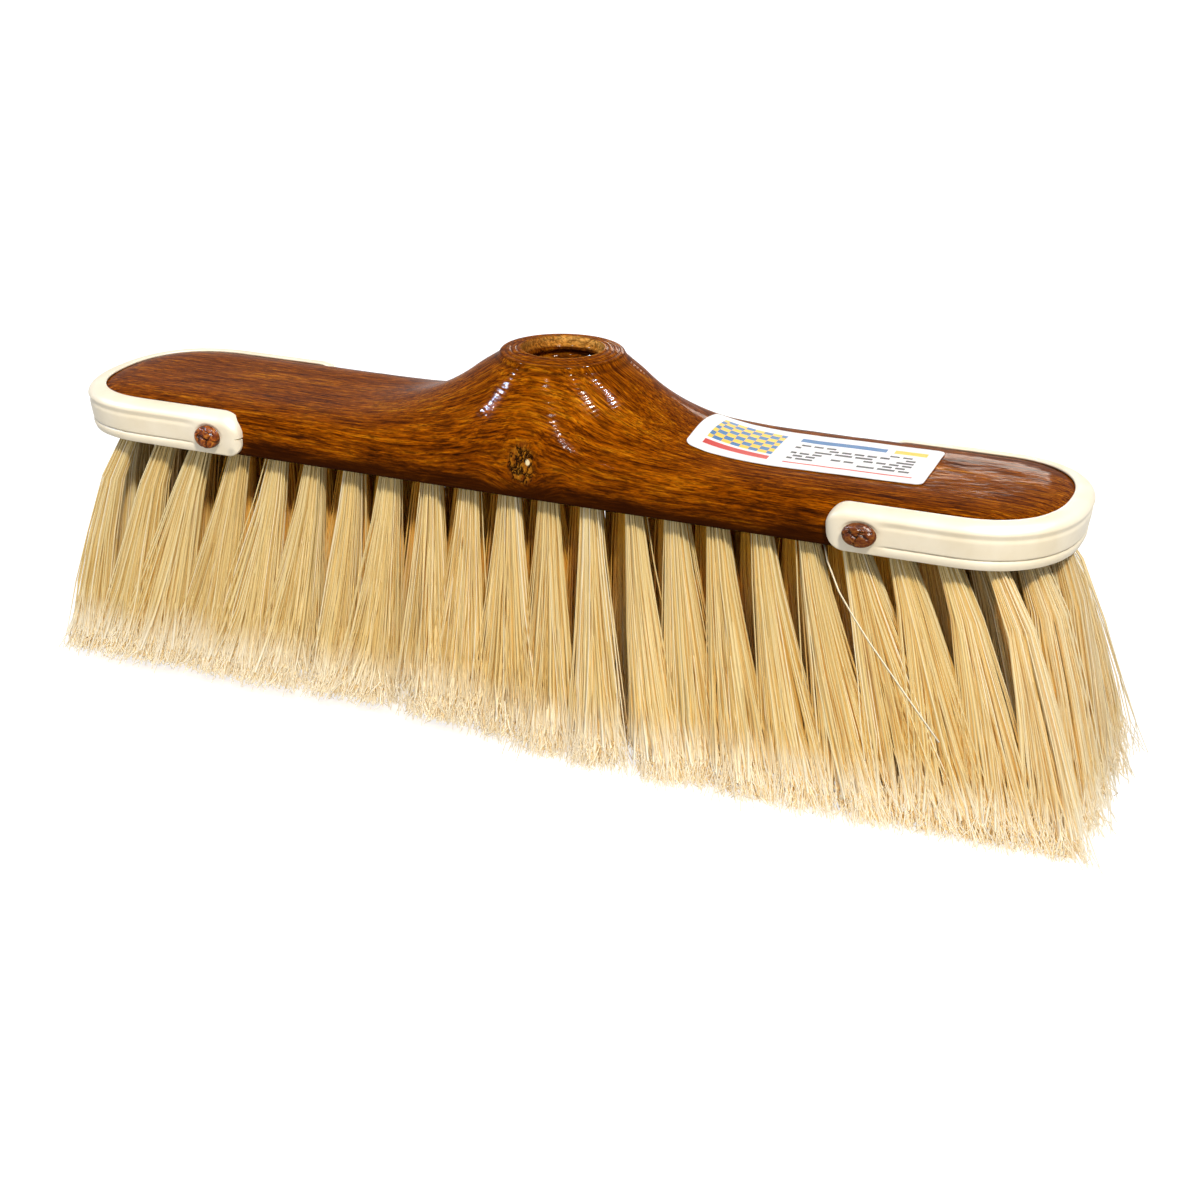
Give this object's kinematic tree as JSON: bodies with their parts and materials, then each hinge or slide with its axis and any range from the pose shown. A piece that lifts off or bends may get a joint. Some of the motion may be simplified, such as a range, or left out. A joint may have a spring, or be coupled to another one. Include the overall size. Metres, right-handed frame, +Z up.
{
  "type": "broom head",
  "caption": "Broom head with a varnished wooden block, threaded handle socket, flared straw-coloured tufts and pegged rubber end bumpers.",
  "frame": {"origin": "centre of the head in plan, on the plane that the bristle tips stand on", "axes": "+X along the head, +Y towards the back, +Z up out of the handle socket"},
  "size_m": [0.3095, 0.0794, 0.1015],
  "materials": {
    "varnished_wood": "gloss",
    "cream_rubber": "satin",
    "stained_peg": "gloss",
    "straw_bristle": "matte",
    "label_paper": "satin"
  },
  "bodies": {
    "root": {"block": "varnished_wood", "left_bumper": "cream_rubber", "right_bumper": "cream_rubber", "front_left_peg": "stained_peg", "front_right_peg": "stained_peg", "back_left_peg": "stained_peg", "back_right_peg": "stained_peg", "label": "label_paper", "front_outer_tufts": "straw_bristle", "front_inner_tufts": "straw_bristle", "centre_tufts": "straw_bristle", "back_inner_tufts": "straw_bristle", "back_outer_tufts": "straw_bristle"}
  },
  "joints": []
}
